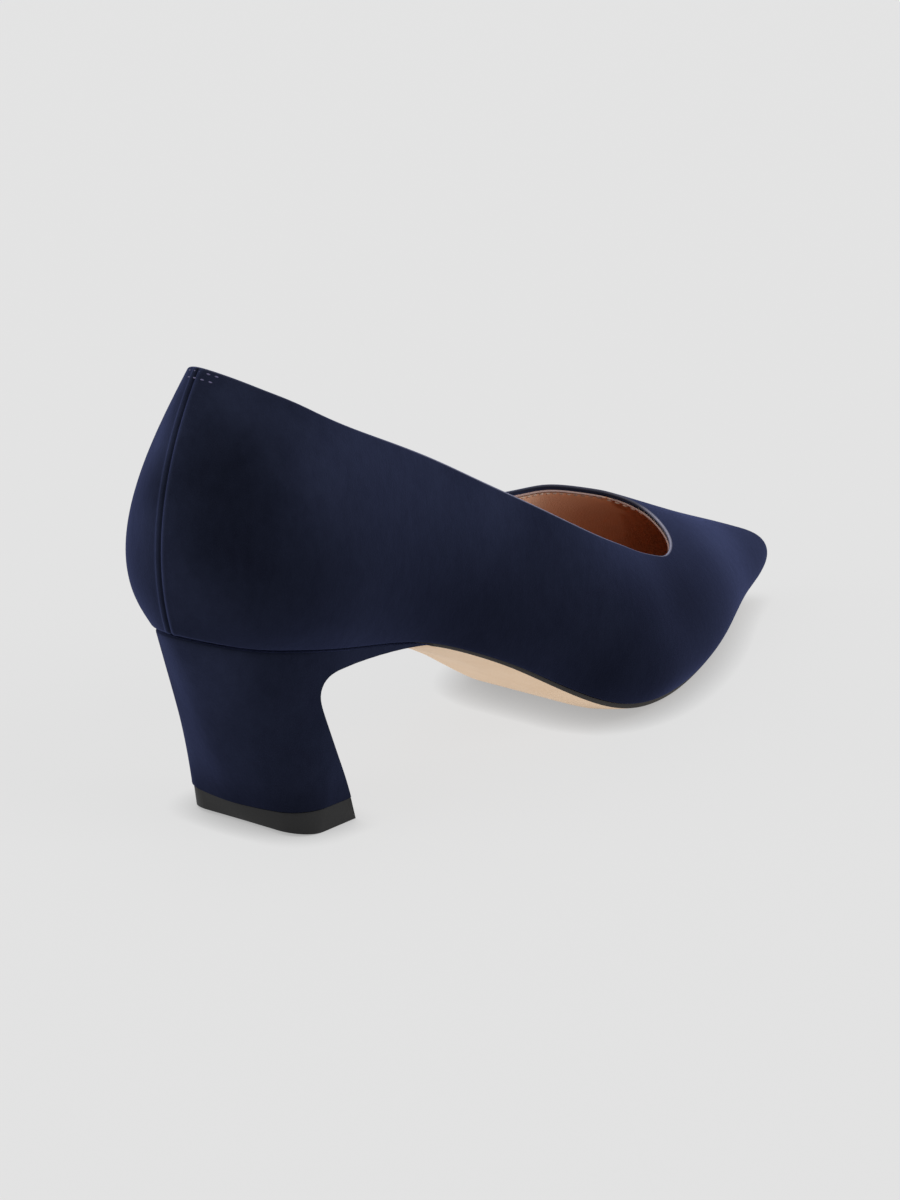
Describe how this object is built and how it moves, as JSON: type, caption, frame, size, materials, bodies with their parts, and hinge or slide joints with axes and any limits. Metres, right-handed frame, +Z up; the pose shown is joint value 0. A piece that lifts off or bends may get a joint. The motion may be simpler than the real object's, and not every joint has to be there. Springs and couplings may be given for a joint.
{
  "type": "pump shoe",
  "caption": "Navy suede pump for the right foot, with a pointed toe, a low rounded throat and a covered mid-height block heel.",
  "frame": {"origin": "centre of the shoe's bounding box, on the floor it stands on", "axes": "+X from heel to toe, +Y to the inner side of the foot, -Y to the outer side, +Z up"},
  "size_m": [0.2514, 0.0708, 0.1167],
  "materials": {
    "upper_suede": "matte",
    "insole_leather": "satin",
    "outsole_leather": "satin",
    "heel_suede": "matte",
    "top_piece_rubber": "matte"
  },
  "bodies": {
    "root": {"upper": "upper_suede", "insole": "insole_leather", "outsole": "outsole_leather", "heel": "heel_suede", "heel_top_piece": "top_piece_rubber"}
  },
  "joints": []
}
